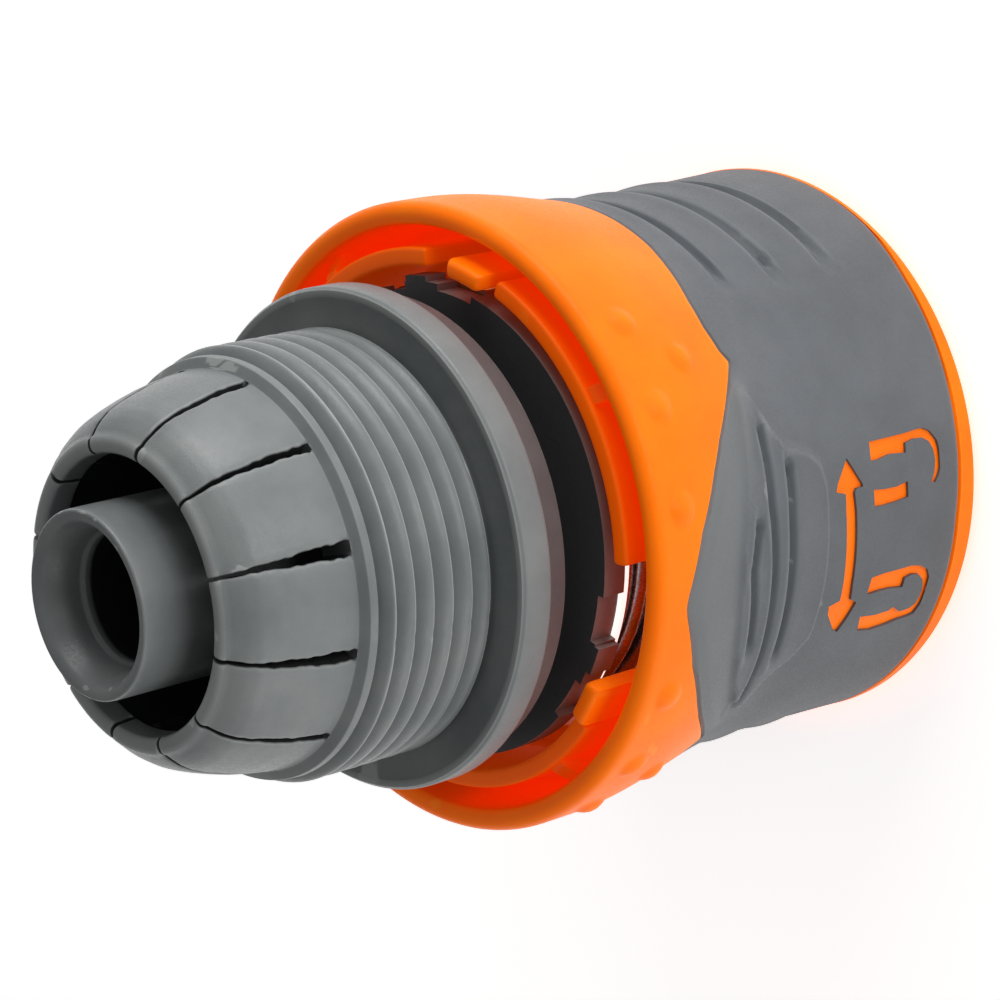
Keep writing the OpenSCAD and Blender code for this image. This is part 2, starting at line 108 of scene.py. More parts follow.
class Shape:
    """Closed shells that make up one piece."""

    def __init__(self):
        self.points, self.faces, self.tones, self.count = [], [], [], 0

    def add(self, points, faces, tone=0.0):
        points = np.asarray(points, float).reshape(-1, 3)
        self.faces += [[v + self.count for v in face] for face in faces]
        self.tones.append(np.broadcast_to(tone, (len(points),)))
        self.points.append(points)
        self.count += len(points)

    def sector(self, outline, middle, half, step=0.02, end_round=0.3, tone=0.0):
        """A closed outline swept about the axis, with softened ends. Angles in radians."""
        outline = np.asarray(outline)
        r_mean, centre = outline[:, 0].mean(), outline.mean(0)
        edge = end_round / r_mean
        inner = np.linspace(-half + edge, half - edge, max(2, int(2 * (half - edge) / step)))
        angles, shrink = list(inner), [0.0] * len(inner)
        for k in range(1, 5):
            s = math.sin(math.pi / 2 * k / 4)
            inset = end_round * (1 - math.sqrt(max(0, 1 - s * s)))
            angles = [-half + edge * (1 - s)] + angles + [half - edge * (1 - s)]
            shrink = [inset] + shrink + [inset]
        sections = []
        for a, inset in zip(angles, shrink):
            scale = np.maximum(1 - 2 * inset / np.maximum(np.ptp(outline, axis=0), 1e-6), 0.05)
            section = centre + (outline - centre) * scale
            sections.append(polar(section[:, 0], middle + a, section[:, 1]))
        rows, cols = len(sections), len(outline)
        faces = grid_faces(rows, cols, wrap_rows=False)
        faces += [list(range(cols))[::-1], [(rows - 1) * cols + k for k in range(cols)]]
        self.add(np.array(sections), faces, tone)

    def make(self, name, material, crease=38):
        mesh = bpy.data.meshes.new(name)
        mesh.from_pydata((np.concatenate(self.points) * MM).tolist(), [], self.faces)
        mesh.materials.append(material)
        # Mask of painted light and shade, laid per point and read by the materials
        mesh.attributes.new("tone", "FLOAT", "POINT").data.foreach_set("value", np.concatenate(self.tones))
        mesh.shade_smooth()
        mesh.set_sharp_from_angle(angle=math.radians(crease))
        mesh.update()
        obj = bpy.data.objects.new(name, mesh)
        bpy.context.scene.collection.objects.link(obj)
        return obj


# Materials

def linear(rgb):
    """Linear colour of an sRGB colour with channels from 0 to 255."""
    c = np.array(rgb, float) / 255
    c = np.where(c <= 0.04045, c / 12.92, ((c + 0.055) / 1.055) ** 2.4)
    return (*c.tolist(), 1.0)


def noise(tree, coords, scale, detail=3.0, roughness=0.5):
    """Fractal noise from 0 to 1 at these coordinates."""
    node = tree.nodes.new("ShaderNodeTexNoise")
    node.inputs["Scale"].default_value = scale
    node.inputs["Detail"].default_value = detail
    node.inputs["Roughness"].default_value = roughness
    tree.links.new(coords, node.inputs["Vector"])
    return node.outputs["Fac"]


def spread(tree, value, low, high, from_low=0.35, from_high=0.65):
    """The value stretched so that from_low to from_high becomes low to high."""
    node = tree.nodes.new("ShaderNodeMapRange")
    tree.links.new(value, node.inputs["Value"])
    for key, x in (("From Min", from_low), ("From Max", from_high), ("To Min", low), ("To Max", high)):
        node.inputs[key].default_value = x
    return node.outputs["Result"]


def mixed(tree, factor, a, b):
    """Colour between a and b, which are fixed colours or sockets."""
    node = tree.nodes.new("ShaderNodeMix")
    node.data_type = "RGBA"
    tree.links.new(factor, node.inputs["Factor"])
    for socket, value in ((node.inputs["A"], a), (node.inputs["B"], b)):
        if isinstance(value, tuple):
            socket.default_value = value
        else:
            tree.links.new(value, socket)
    return node.outputs["Result"]


def moulded(name, dark, light, rough, grain_mm, bump_mm, edge=None, tone=None, specular=0.5,
            painted_glow=None, face=None):
    """Moulded plastic or rubber: cloudy colour, fine grain, uneven gloss and a painted highlight on convex
    edges.
    The edge colour is that painted highlight, the shading colour is painted light and shade where the mesh's
    own shading mask is 1, and face is the painted shade of a face that looks along +Z.
    The glow is painted light: its colour where the mask is 0, its strength, and its colour where the mask is
    1."""
    material = bpy.data.materials.new(name)
    material.use_nodes = True
    tree = material.node_tree
    shader = tree.nodes["Principled BSDF"]
    coords = tree.nodes.new("ShaderNodeTexCoord").outputs["Object"]
    clouds = noise(tree, coords, 160, 4, 0.6)
    colour = mixed(tree, spread(tree, clouds, 0, 1), linear(dark), linear(light))
    specks = noise(tree, coords, 1 / (grain_mm * MM) * 0.7, 2, 0.7)
    # Painted highlight: convex edges turn to the lighter edge colour
    if edge:
        pointy = tree.nodes.new("ShaderNodeNewGeometry").outputs["Pointiness"]
        edge_highlight = spread(tree, pointy, 0, 1, 0.515, 0.56)
        colour = mixed(tree, edge_highlight, colour, linear(edge))
    # Painted shade: faces that look along +Z turn to the face colour
    if face:
        parts = tree.nodes.new("ShaderNodeSeparateXYZ")
        tree.links.new(tree.nodes.new("ShaderNodeTexCoord").outputs["Normal"], parts.inputs["Vector"])
        colour = mixed(tree, spread(tree, parts.outputs["Z"], 0, 1, 0.6, 0.8), colour, linear(face))
    # The mesh's own mask of painted light and shade
    place = tree.nodes.new("ShaderNodeAttribute")
    place.attribute_name = "tone"
    if tone:
        colour = mixed(tree, place.outputs["Fac"], colour, linear(tone))
    tree.links.new(colour, shader.inputs["Base Color"])
    tree.links.new(spread(tree, specks, rough[0], rough[1]), shader.inputs["Roughness"])
    fine = noise(tree, coords, 1 / (grain_mm * MM), 3, 0.65)
    bump = tree.nodes.new("ShaderNodeBump")
    bump.inputs["Strength"].default_value = 1.0
    bump.inputs["Distance"].default_value = bump_mm * MM
    tree.links.new(fine, bump.inputs["Height"])
    tree.links.new(bump.outputs["Normal"], shader.inputs["Normal"])
    shader.inputs["Specular IOR Level"].default_value = specular
    # Painted glow: the material gives off light of its own, standing in for light shone through it
    if painted_glow:
        shader.inputs["Subsurface Weight"].default_value = 0.15
        shader.inputs["Subsurface Radius"].default_value = (1.0, 0.2, 0.03)
        shader.inputs["Subsurface Scale"].default_value = 0.002
        lit = mixed(tree, place.outputs["Fac"], linear(painted_glow[0]), linear(painted_glow[2]))
        tree.links.new(lit, shader.inputs["Emission Color"])
        shader.inputs["Emission Strength"].default_value = painted_glow[1]
    return material


def steel(name):
    """Spring wire."""
    material = moulded(name, (150, 152, 156), (184, 186, 190), (0.22, 0.4), 0.12, 0.004)
    material.node_tree.nodes["Principled BSDF"].inputs["Metallic"].default_value = 1.0
    return material


# body_grey: lighter edges are a painted highlight, and the near-black shading colour is painted shade
GREY = moulded("body_grey", (106, 110, 111), (120, 124, 123), (0.3, 0.46), 0.16, 0.016, (152, 156, 154),
               (26, 26, 27))
# socket_grey: darker and warmer than the body's grey, as painted shade and a painted reflection of the orange
# collar; edges get a painted highlight, and faces that look along +Z get painted shade
SOCKET = moulded("socket_grey", (84, 78, 77), (96, 89, 87), (0.34, 0.5), 0.16, 0.012, (128, 120, 117),
                 face=(62, 62, 64))
SEAL = moulded("seal_rubber", (18, 18, 19), (28, 28, 29), (0.4, 0.6), 0.3, 0.01)
# white_acetal glows white as painted light where the shading mask is 0; where it is 1 it turns to a brown
# painted shade with a painted orange reflection and a faint red glow
ACETAL = moulded("white_acetal", (226, 226, 220), (240, 240, 236), (0.3, 0.42), 0.2, 0.006,
                 tone=(112, 66, 50), painted_glow=((255, 250, 246), 0.9, (30, 6, 0)))
CLAW = moulded("claw_acetal", (186, 190, 190), (208, 212, 212), (0.3, 0.45), 0.2, 0.006)
STEEL = steel("spring_steel")
# collar_orange: lighter edges are a painted highlight, the redder shading colour is painted light bounced
# inside the collar, and its faint glow is painted light
ORANGE = moulded("collar_orange", (255, 116, 0), (255, 126, 0), (0.36, 0.48), 0.2, 0.006, (255, 136, 22),
                 (250, 82, 0), 0.14, ((255, 80, 0), 0.16, (255, 80, 0)))
# grip_grey: lighter edges are a painted highlight, and the lighter shading colour is a painted sheen on the
# pads' slopes
RUBBER = moulded("grip_grey", (86, 90, 94), (95, 99, 103), (0.5, 0.66), 0.14, 0.02, (118, 122, 125),
                 (116, 119, 120))


# Sizes that the pieces share, from the part's own source

LIP_R, LIP_Z = 22.6, 34.45
WAIST_R, WAIST_Z, FLARE_Z = 20.65, 16.3, 31.5
REAR_R, REAR_GAP = 21.05, 0.6
SLEEVE_R, STRIP_T, STRIP_Z, GAP_Z = 18.1, 1.3, 34.3, 27.65
PAD_AZIMUTH = -115
STEP_Z, FLANGE_Z, THREAD_Z, LAST_CREST_Z = 37.2, 39.3, 41.9, 50.5
PITCH, CRESTS, ROOT_R, CREST_R = 1.62, 6, 14.0, 15.0
COLLET_TOP, SPIGOT_TOP = 61.15, 64.15
POCKET_Z, PLUG_Z = 45.15, 25.5
FINGERS, SLOT_Z = 12, 52.75
PLUG_R, FLANGE_R, STEP_R, POCKET_R, SPIGOT_R, BORE_R = 9.4, 17.7, 16.9, 10.5, 6.4, 4.35
CHAMBER_R, LEDGE_R, SLIT_R, END_RECESS_R = 17.0, 12.75, 18.35, 15.9
# Width in mm at the root of each slot that isn't 0.7
SLOT_WIDTHS = {7: 0.6, 8: 0.8, 9: 1.0, 10: 0.55, 11: 0.6}


def collar_r(z):
    """Outer radius of the collar at a height: rear taper, waist, then the flare up to the lip."""
    z = np.asarray(z, float)
    rear = REAR_R + (WAIST_R - REAR_R) * np.sin(
        math.pi / 2 * np.clip((z - REAR_GAP) / (WAIST_Z - REAR_GAP), 0, 1))
    rise = np.clip((z - WAIST_Z) / (FLARE_Z - WAIST_Z), 0, 1)
    flare = WAIST_R + (LIP_R - WAIST_R) / 2 * (1 - np.cos(math.pi * rise))
    return np.where(z <= WAIST_Z, rear, flare)


def around_pad(theta):
    """Angle in degrees from the nearer thumb pad's middle, 0 to 90 on either side."""
    return np.abs((np.degrees(theta) - PAD_AZIMUTH + 90) % 180 - 90)


# Front edge of the soft grip, as height over the angle from a thumb pad's middle
EDGE = np.array([(0, 31.55), (2, 31.4), (5, 31.0), (12.3, 30.0), (22, 27.9), (27, 26.6), (33, 24.7),
                 (38, 23.2), (40.5, 22.5), (43, 23.0), (48, 23.3), (54, 23.1), (60, 22.6), (70, 21.9),
                 (80, 21.6), (90, 21.5)])


def grip_front(theta):
    """Height of the grip's front edge."""
    return np.interp(around_pad(theta), EDGE[:, 0], EDGE[:, 1])


def grip_rear(theta):
    """Height of the grip's rear edge."""
    return np.interp(around_pad(theta), [0, 20, 50, 65, 80, 90], [2.25, 2.0, 1.5, 0.95, 0.85, 0.85])


# Hose body: plug, neck, step, flange, nut thread, collet fingers, pocket and spigot in one moulding

def hose_body():
    """One lathe-like grid from the plug over the thread and the fingers into the bore."""
    skirt = rounded([
        (5.2, PLUG_Z), (PLUG_R, PLUG_Z, 0.5), (PLUG_R, 28.94), (8.2, 28.94), (8.2, 30.56), (PLUG_R, 30.56),
        (PLUG_R, STEP_Z, 0.6), (STEP_R - 0.2, STEP_Z, 0.3), (STEP_R, FLANGE_Z, 0.1), (17.4, FLANGE_Z),
        (FLANGE_R, FLANGE_Z + 0.25, 0.2), (FLANGE_R, THREAD_Z - 0.25, 0.2), (17.45, THREAD_Z),
        (17.0, THREAD_Z), (16.9, THREAD_Z - 0.07), (ROOT_R + 0.4, THREAD_Z - 0.07, 0.2),
        (ROOT_R, THREAD_Z + 0.15)])
    thread_top = LAST_CREST_Z + 0.95
    thread = np.array([(ROOT_R, z) for z in np.linspace(THREAD_Z + 0.2, thread_top, CRESTS * 22)])
    shoulder = rounded([(ROOT_R + 0.12, thread_top + 0.06), (14.5, thread_top + 0.14, 0.08),
                        (14.46, 52.2, 0.1), (13.86, 52.52, 0.1), (13.74, 52.6)])
    base = len(skirt) + len(thread) + len(shoulder)
    barrel_z = np.linspace(SLOT_Z, 60.75, 36)
    barrel = np.array([(13.7, 52.75), (13.64, 53.3), (13.48, 54.4), (13.22, 55.7), (12.9, 56.9),
                       (12.52, 58.1), (12.12, 59.1), (11.68, 59.8), (11.15, 60.4), (10.75, 60.75)])
    outer = np.stack([np.interp(barrel_z, barrel[:, 1], barrel[:, 0]), barrel_z], -1)
    tip = np.array([(10.66, 60.93), (10.5, 61.08), (10.2, 61.15), (9.8, 61.13), (9.6, 61.02), (9.48, 60.86)])
    # The fingers' inner side: a bevelled tooth at the tip, then the pocket for the hose
    tooth = np.interp(barrel_z, [51.75, 58.9, 59.2, 60.7], [10.5, 10.35, 9.35, 9.45])
    inner = np.stack([tooth, barrel_z], -1)[::-1]
    spigot_in = rounded([(POCKET_R, 51.75), (POCKET_R, POCKET_Z, 0.8), (SPIGOT_R, POCKET_Z, 0.8),
                         (SPIGOT_R, 46.5)])
    wall = np.stack([np.full(12, SPIGOT_R), np.linspace(47, SPIGOT_TOP - 0.7, 12)], -1)
    mouth = rounded([(SPIGOT_R, SPIGOT_TOP - 0.6), (6.37, SPIGOT_TOP, 0.35), (5.6, SPIGOT_TOP - 0.12, 1.0),
                     (4.85, SPIGOT_TOP - 1.5, 1.2), (4.6, 61.4, 0.1), (4.36, 61.1, 0.08), (BORE_R, 60.9)], 8)
    bore = rounded([(BORE_R, 60.6), (BORE_R, PLUG_Z + 0.6), (5.2, PLUG_Z)])[:-1]
    path = np.concatenate([skirt, thread, shoulder, outer, tip, inner, spigot_in, wall, mouth, bore])
    slot_rows = (base, base + len(outer) + len(tip) + len(inner) - 1)

    r, z, theta, skip, slot_cols = finger_grid(path, slot_rows)
    cut = slice(len(skirt), len(skirt) + len(thread))
    r[cut] += thread_height(theta[cut], z[cut])
    # Painted shade in the bore, on the spigot, in the pocket, in the slots and behind the flange: the same
    # grey plastic, coloured darker where shade falls
    tone = np.zeros(r.shape)
    spigot_row = len(path) - len(bore) - len(mouth) - len(wall)
    tone[-len(bore):] = 1
    tone[spigot_row:-len(bore)] = 0.14
    neck_z = z[:len(skirt)]
    tone[:len(skirt)] = np.where(neck_z < STEP_Z + 0.05, 0.8, np.where(neck_z < FLANGE_Z, 0.5, 0))
    tone[base + len(outer) + len(tip) + 8:spigot_row] = 0.9
    for begin, end in slot_cols:
        tone[slot_rows[0]:slot_rows[1] + 1, [begin, end]] = 0.9
    rows, cols = r.shape
    shape = Shape()
    shape.add(polar(r, theta, z), grid_faces(rows, cols, skip=skip) + slot_walls(slot_rows, slot_cols, cols),
              tone.ravel())
    return shape.make("hose_moulding", GREY)


def finger_grid(path, slot_rows):
    """Radius, height and angle of each grid point, with columns that follow the fingers' slots."""
    low, high = slot_rows
    across = np.linspace(-1, 1, 5)
    fractions = np.concatenate([[0.015, 0.04, 0.08], np.linspace(0.14, 0.86, 10), [0.92, 0.96, 0.985]])
    rows = len(path)
    in_slot = np.zeros(rows, bool)
    in_slot[low:high + 1] = True
    rise = smooth(SLOT_Z, COLLET_TOP, path[:, 1])
    columns_r, columns_t, skip_cols, slot_cols = [], [], [], []
    col = 0
    edge_waves = RNG.uniform(0, TURN, (FINGERS, 2, 4))
    half_angle = np.zeros((FINGERS, 2, rows))
    for k in range(FINGERS):
        for side in (0, 1):
            waves = sum(math.sqrt(1 / (m + 1)) * np.sin(path[:, 1] * (1.9 + 2.3 * m) + edge_waves[k, side, m])
                        for m in range(4))
            ragged = 0.045 * waves * (1 - 0.5 * rise)
            width = SLOT_WIDTHS.get(k, 0.7)
            half_mm = 0.5 * (width + (0.24 - width) * rise)
            around = (half_mm + ragged) / np.maximum(path[:, 0], 9)
            half_angle[k, side] = np.where(in_slot, around, width / 27.4)
    bevel = np.where(in_slot, 1.0, 0.0)
    outside = np.arange(rows) <= (low + high) / 2
    for k in range(FINGERS):
        centre = TURN * (k - 0.05) / FINGERS
        left, right = half_angle[k, 0], half_angle[k, 1]
        begin = col
        for u in across:
            columns_t.append(centre + np.where(u < 0, left, right) * u)
            inset = 0.12 * bevel if abs(u) == 1 else 0 * bevel
            columns_r.append(np.where(outside, -inset, inset * 0.6))
        slot_cols.append((begin, begin + 4))
        skip_cols += [True] * 4
        col += 5
        nxt = half_angle[(k + 1) % FINGERS, 0]
        a, b = centre + right, centre + TURN / FINGERS - nxt
        for f in fractions:
            columns_t.append(a + (b - a) * f)
            near = min(f, 1 - f)
            inset = (0.035 if near < 0.02 else 0.008 if near < 0.05 else 0.0) * bevel
            columns_r.append(np.where(outside, -inset, inset * 0.6))
        skip_cols += [False] * (len(fractions) + 1)
        col += len(fractions)
    theta = np.array(columns_t).T
    r = path[:, :1] + np.array(columns_r).T
    z = np.repeat(path[:, 1:], theta.shape[1], 1)
    skip = in_slot[:, None] & np.array(skip_cols)[None]
    skip[high] = False
    # Rounded closed end of each slot
    for begin, _ in slot_cols:
        for n, u in enumerate(across[1:-1]):
            for row in (low, high):
                z[row, begin + 1 + n] -= 0.34 * math.sqrt(1 - u * u)
    return r, z, theta, skip, slot_cols


def slot_walls(slot_rows, slot_cols, cols):
    """Side walls and floor of each slot between the outer and the inner side of the fingers."""
    low, high = slot_rows
    faces = []
    for begin, end in slot_cols:
        for j in range(begin, end):
            faces.append([low * cols + j, low * cols + j + 1, high * cols + j + 1, high * cols + j])
        for j, flip in ((begin, True), (end, False)):
            a, b = low, high
            while a < b - 1:
                face = [a, a + 1, b - 1, b] if a + 1 < b - 1 else [a, a + 1, b]
                face = [row * cols + j for row in face]
                faces.append(face if flip else face[::-1])
                a, b = a + 1, b - 1
    return faces


def thread_height(theta, z):
    """Height of the nut thread over its root: crests with a steep rear flank and a rounded front flank."""
    part = ((LAST_CREST_Z - z) / PITCH) % 1
    crest = np.where(part < 0.1, 1 - part / 0.1, np.sin(math.pi / 2 * np.clip((part - 0.1) / 0.83, 0, 1)))
    run_out = np.sin(math.pi / 2 * np.clip((LAST_CREST_Z + 0.85 - z) / 0.85, 0, 1))
    crest = np.where(z > LAST_CREST_Z, run_out, crest)
    crest = np.where(z < THREAD_Z + 0.34, 0, crest)
    mould_line = 0.06 * np.exp(-((np.degrees(theta) % 180 - 62) / 0.9) ** 2)
    return (CREST_R - ROOT_R - mould_line) * crest


# Orange collar

BUMPS = ((17.2, 31.8), (34.9, 31.6), (42.5, 27.6), (51, 31.2))
BUMP_R, BUMP_RISE = 1.2, 0.42
RECESS = 0.22


def bumps(theta, z):
    """Height of the low round bumps on the collar's flare."""
    rise = np.zeros(np.broadcast(theta, z).shape)
    for side in (0, 180):
        for offset, height in BUMPS:
            for m in (-1, 1):
                centre = math.radians(PAD_AZIMUTH + side + m * offset)
                across = (np.mod(theta - centre + math.pi, TURN) - math.pi) * LIP_R
                d2 = (across ** 2 + (z - height) ** 2) / BUMP_R ** 2
                rise += BUMP_RISE * np.clip(1 - d2, 0, 1) ** 1.1
    return rise


def seat_depth(theta, z):
    """Depth of the grip's seat in the collar: shallow behind the cut-out signs, deeper elsewhere."""
    phi = -90 - np.degrees(theta)
    phi = np.mod(phi + 180, 360) - 180
    near = smooth(-4, 0, phi) * (1 - smooth(51, 55, phi)) * (1 - smooth(15.6, 16.4, z))
    return 0.8 - (0.8 - RECESS) * near


def collar_shell():
    """The outer band with its lip and the grip's seat, then the stepped inside and the parts in it."""
    cols = 450
    theta = np.linspace(0, TURN, cols, endpoint=False)
    front, rear = grip_front(theta), grip_rear(theta)
    r_rows, z_rows = [], []

    def row(r, z):
        r_rows.append(np.broadcast_to(r, (cols,)).astype(float))
        z_rows.append(np.broadcast_to(z, (cols,)).astype(float))

    # Rear rim, from the slit round the cam ring
    rim = rounded([(SLIT_R, 13.6), (SLIT_R, REAR_GAP, 0.4), (20.3, REAR_GAP),
                   (REAR_R + 0.02, REAR_GAP, 0.55), (REAR_R, REAR_GAP + 0.6)], 6)[:-1]
    for r, z in rim:
        row(r, z)
    for s in np.linspace(0.1, 1, 6):
        z = REAR_GAP + 0.5 + (rear - 0.12 - REAR_GAP - 0.5) * s
        row(collar_r(z), z)
    # Seat of the grip
    row(collar_r(rear) - 0.06, rear - 0.06)
    row(collar_r(rear) - seat_depth(theta, rear), rear - 0.02)
    for s in np.linspace(0, 1, 48):
        z = rear + (front - rear) * s
        row(collar_r(z) - seat_depth(theta, z), z)
    row(collar_r(front) - seat_depth(theta, front), front + 0.14)
    row(collar_r(front) - 0.08, front + 0.16)
    # Orange band up to the lip
    for s in np.linspace(0, 1, 44) ** 0.9:
        z = front + 0.22 + (33.5 - front - 0.22) * s
        row(collar_r(z) + bumps(theta, z), z)
    lip_round = 0.85
    for a in np.linspace(0.12, math.pi, 14):
        row(LIP_R - lip_round + lip_round * math.cos(a), LIP_Z - lip_round + lip_round * math.sin(a))
    inside = rounded([
        (LIP_R - 1.7, 33.4), (LIP_R - 2.25, GAP_Z, 0.4), (SLEEVE_R, GAP_Z, 0.25), (SLEEVE_R, 25.7, 0.2),
        (CHAMBER_R, 25.1, 0.3), (CHAMBER_R, 16.6, 0.4), (LEDGE_R, 16.6, 0.3), (LEDGE_R, 9.8), (14.83, 1.5),
        (END_RECESS_R, 1.5, 0.1), (END_RECESS_R, REAR_GAP, 0.3), (17.0, REAR_GAP, 0.3), (17.0, 13.6, 0.5),
        (SLIT_R, 13.6)])[:-1]
    for r, z in filled(inside, 3.0):
        row(r, z)
    r, z = np.array(r_rows), np.array(z_rows)
    # Painted light: inside surfaces take a redder orange, for light bounced and shone through the orange
    # plastic
    tone = np.where((r < LIP_R - 1.6) & (z > 20), 1.0, 0.0)
    shape = Shape()
    shape.add(polar(r, theta[None], z), grid_faces(len(r), cols), tone.ravel())
    collar_inner_parts(shape)
    for k in range(8):
        shape.sector(rounded([(16.9, 1.0, 0.2), (18.5, 1.0, 0.2), (18.5, 13.9), (16.9, 13.9)], closed=True),
                     math.radians(45 * k), 0.034, end_round=0.1)
    return shape.make("collar_moulding", ORANGE)


# Each strip's first and last angle phi with its bridge's, and the middle of each lock finger
STRIPS = ((-49.5, 18, -16.5), (57, 108, 71.5), (130.5, 198, 164.25), (-139.5, -72, -106))
LOCK_FINGERS = (-57, 50.2, -150.75)


def collar_inner_parts(shape):
    """Four strips in front of the sleeve, their bridges to the lip and three lock fingers."""
    outer = SLEEVE_R + STRIP_T
    strip = rounded([(SLEEVE_R, GAP_Z - 0.4), (outer, GAP_Z - 0.4), (outer, STRIP_Z, 0.3),
                     (SLEEVE_R, STRIP_Z, 0.3)], 4, closed=True)
    bridge = rounded([(outer - 0.3, GAP_Z - 0.4), (21.0, GAP_Z - 0.4), (21.05, 32.6),
                      (outer + 0.3, 33.95, 0.2), (outer - 0.3, 34.0, 0.1)], closed=True)
    finger = rounded([(SLEEVE_R + 0.02, 26.8), (21.2, 26.8), (21.2, 30.2), (20.9, 30.8, 0.2),
                      (outer - 0.02, 30.8, 0.3), (outer - 0.02, 35.3, 0.5), (SLEEVE_R + 0.02, 35.3, 0.5)],
                     5, closed=True)
    for start, end, at in STRIPS:
        # Painted light: strips and bridges take part of the redder inside orange
        shape.sector(strip, theta_of((start + end) / 2), math.radians((end - start) / 2),
                     end_round=0.25, tone=0.5)
        shape.sector(bridge, theta_of(at), 0.65 / 20.2, end_round=0.15, tone=0.7)
    for phi in LOCK_FINGERS:
        shape.sector(finger, theta_of(phi), math.radians(5), end_round=0.45)


# Soft grip with thumb pads, finger grooves and cut-out signs

# Outline of a thumb pad: angle from the pad's middle, then height
PAD = np.array([(-37.5, 23.4), (-33, 24.2), (-21, 25.2), (-15, 25.8), (-7, 26.5), (2, 26.6), (12, 26.0),
                (20, 24.9), (28, 23.0), (33, 21.2), (26, 19.6), (22.5, 17.2), (18, 15.9), (4, 15.8),
                (-14, 15.9), (-19, 16.3), (-21.6, 17.4), (-24, 19.7), (-27, 20.7), (-34.5, 22.2)])
# Grooves across a thumb pad, as lines of angle from its middle and height
PAD_GROOVES = (
    ((-10.3, 24.27), (-2.4, 24.94), (13.1, 24.1)),
    ((-26.7, 22.35), (-13.3, 22.54), (-4.6, 22.32), (14.5, 21.98), (28.4, 21.99)),
    ((-19.2, 20.03), (-8.7, 20.21), (2.3, 20.12), (18.9, 19.99)))
FINGER_GROOVES = (18.1, 12.9, 7.6)

# Signs cut through the grip: outlines as angle phi and height
SIGNS = [
    [(7.2, 13.6), (13.0, 12.25), (13.5, 12.26), (13.5, 12.88), (14.3, 13.1), (18.2, 12.95),
     (22.9, 12.85), (28.2, 12.72), (33.7, 12.58), (37.2, 12.4), (38.3, 11.67), (42.1, 12.2),
     (44.8, 12.7), (43.9, 13.28), (39.4, 14.49), (37.4, 14.64), (36.7, 13.59), (31.9, 13.69),
     (27.6, 13.82), (22.3, 13.95), (17.6, 14.05), (14.1, 14.03), (13.3, 14.98), (11.7, 14.76)],
    [(5.2, 11.13), (5.2, 9.99), (5.2, 8.75), (5.2, 7.4), (5.0, 6.14), (5.1, 5.52), (6.0, 4.87),
     (8.1, 4.29), (10.6, 4.1), (13.2, 4.14), (15.0, 4.4), (16.3, 4.79), (16.0, 5.21), (14.3, 4.85),
     (11.9, 4.68), (9.7, 4.78), (7.9, 5.14), (6.9, 5.77), (6.7, 6.59), (7.1, 7.51), (9.0, 7.6),
     (8.5, 9.22), (9.0, 10.39), (9.0, 11.22)],
    [(14.7, 11.16), (15.1, 10.03), (15.2, 8.79), (14.7, 7.64), (17.9, 7.63), (18.2, 8.82),
     (18.3, 10.07), (18.2, 11.11)],
    [(33.3, 10.64), (33.0, 9.32), (33.0, 7.75), (32.9, 6.5), (33.5, 5.49), (34.9, 4.6), (37.2, 4.12),
     (39.5, 3.98), (42.2, 4.0), (43.8, 4.2), (45.6, 4.5), (46.0, 5.1), (46.1, 6.04), (46.7, 7.3),
     (47.0, 8.84), (46.2, 10.35), (42.4, 10.7), (43.0, 9.02), (42.8, 7.58), (42.1, 7.27), (43.9, 6.32),
     (43.7, 5.3), (42.8, 4.8), (41.0, 4.6), (38.8, 4.62), (36.9, 4.9), (35.5, 5.5), (35.1, 6.26),
     (35.6, 6.92), (37.6, 6.95), (37.1, 8.32), (37.0, 9.38), (37.2, 10.39), (36.9, 10.76)],
]


def inside_outline(points, outline):
    """True for each point inside a closed outline."""
    x, y = points[..., 0], points[..., 1]
    hit = np.zeros(x.shape, bool)
    for (x1, y1), (x2, y2) in zip(outline, np.roll(outline, -1, 0)):
        cross = (y1 > y) != (y2 > y)
        with np.errstate(divide="ignore", invalid="ignore"):
            at = (x2 - x1) * (y - y1) / (y2 - y1) + x1
        hit ^= cross & (x < at)
    return hit


def distance_to(points, outline):
    """Signed distance to a closed outline, positive inside."""
    best = np.full(points.shape[:-1], 1e9)
    for a, b in zip(outline, np.roll(outline, -1, 0)):
        edge = b - a
        t = np.clip(((points - a) @ edge) / (edge @ edge), 0, 1)
        best = np.minimum(best, np.linalg.norm(points - (a + t[..., None] * edge), axis=-1))
    return np.where(inside_outline(points, outline), best, -best)


def past_line(points, line):
    """Distance to an open line and the side of it: positive on the side of greater height."""
    best, above = np.full(points.shape[:-1], 1e9), np.zeros(points.shape[:-1])
    for a, b in zip(line, line[1:]):
        edge = b - a
        t = np.clip(((points - a) @ edge) / (edge @ edge), 0, 1)
        gap = points - (a + t[..., None] * edge)
        reach = np.linalg.norm(gap, axis=-1)
        nearer = reach < best
        best, above = np.where(nearer, reach, best), np.where(nearer, gap[..., 1], above)
    return best, above


